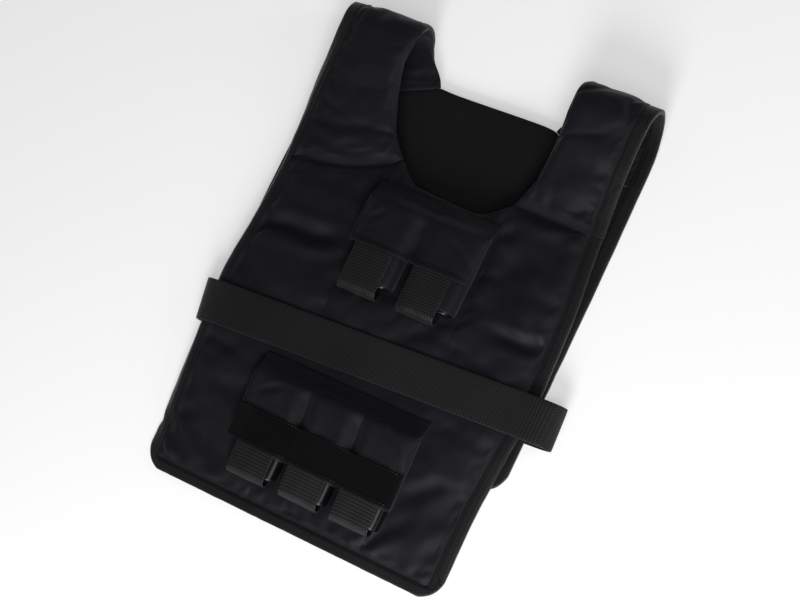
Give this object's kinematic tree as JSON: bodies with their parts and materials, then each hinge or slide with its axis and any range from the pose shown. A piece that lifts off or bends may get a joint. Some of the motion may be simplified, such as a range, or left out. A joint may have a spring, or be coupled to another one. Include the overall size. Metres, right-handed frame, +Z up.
{
  "type": "weighted vest",
  "caption": "Padded over-the-head training vest with wide folded shoulder straps, flap pockets of removable weights and a webbing waist belt, lying flat on its back.",
  "frame": {"origin": "on the surface the vest lies on, under the middle of its bounding box", "axes": "+X to the right of the vest as one looks at its front, +Y from the hem to the shoulders, +Z up from the surface, out of the front"},
  "size_m": [0.4642, 0.6058, 0.0596],
  "materials": {
    "cloth": "black coated oxford cloth over padding, softly shiny",
    "lining": "plain black cloth",
    "tape": "ribbed black binding tape",
    "webbing": "woven black webbing",
    "pile": "matt black hook-and-loop pile",
    "shell": "smooth shiny black"
  },
  "bodies": {
    "root": {"front_panel": "cloth", "back_panel": "lining", "shoulder_strap_left": "cloth", "shoulder_strap_right": "cloth", "front_binding": "tape", "back_binding": "tape", "strap_binding_left": "tape", "strap_binding_right": "tape", "chest_sleeve_left": "cloth", "chest_sleeve_right": "cloth", "chest_flap": "cloth", "chest_tab_left": "webbing", "chest_tab_right": "webbing", "chest_weight_left": "shell", "chest_weight_right": "shell", "belly_sleeve_left": "cloth", "belly_sleeve_middle": "cloth", "belly_sleeve_right": "cloth", "belly_flap": "cloth", "belly_closure_band": "pile", "belly_tab_left": "webbing", "belly_tab_middle": "webbing", "belly_tab_right": "webbing", "belly_weight_left": "shell", "belly_weight_middle": "shell", "belly_weight_right": "shell", "waist_belt": "webbing"}
  },
  "joints": []
}
